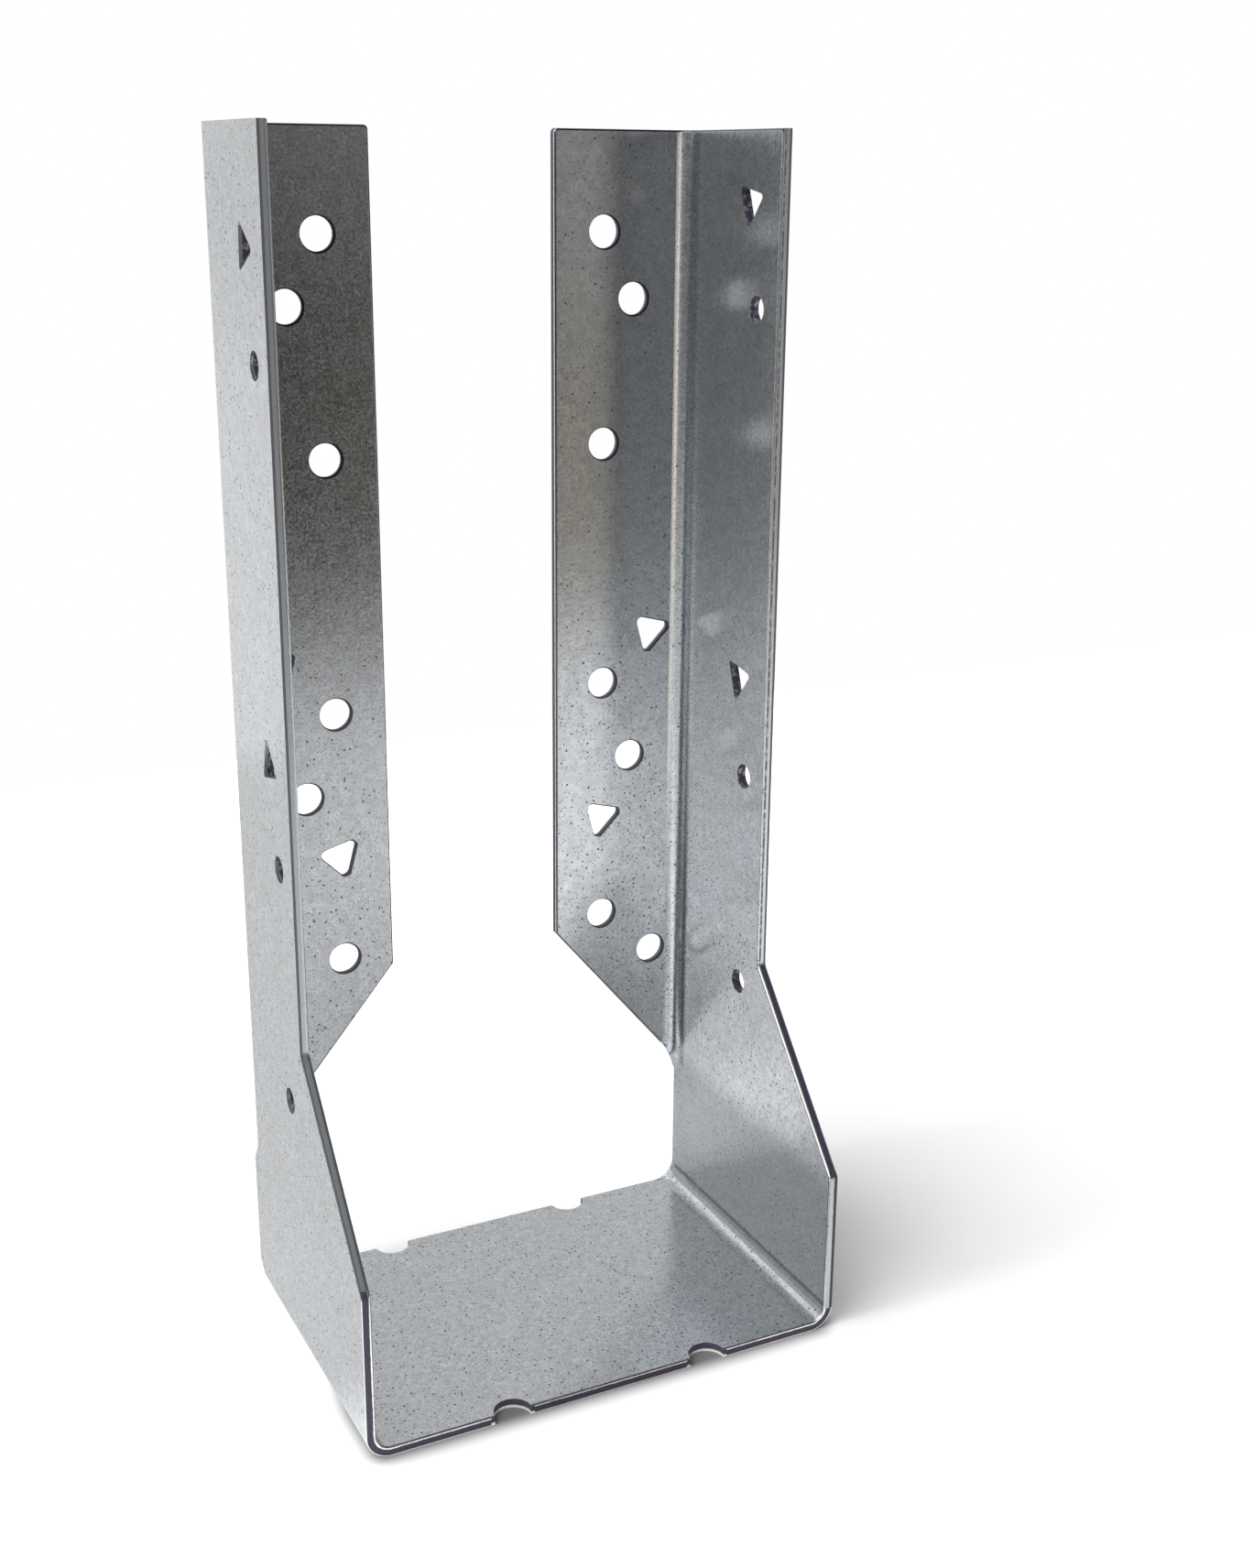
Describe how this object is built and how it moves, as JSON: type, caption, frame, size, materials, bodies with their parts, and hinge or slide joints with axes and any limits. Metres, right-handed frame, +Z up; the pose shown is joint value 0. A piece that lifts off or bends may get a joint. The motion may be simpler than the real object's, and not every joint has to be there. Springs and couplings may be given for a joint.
{
  "type": "joist hanger",
  "caption": "Face-mount joist hanger folded from one galvanized sheet, with flanges turned in behind the joist and nail holes in its flanges and side plates.",
  "frame": {"origin": "middle of the footprint on the underside of the seat", "axes": "+X across the joist, +Y towards the header that the flanges are nailed to, +Z up"},
  "size_m": [0.094, 0.0636, 0.2191],
  "materials": {
    "galvanized_steel": "hot-dip galvanized sheet, fine matte spangle"
  },
  "bodies": {
    "root": {"joist_hanger": "galvanized_steel"}
  },
  "joints": []
}
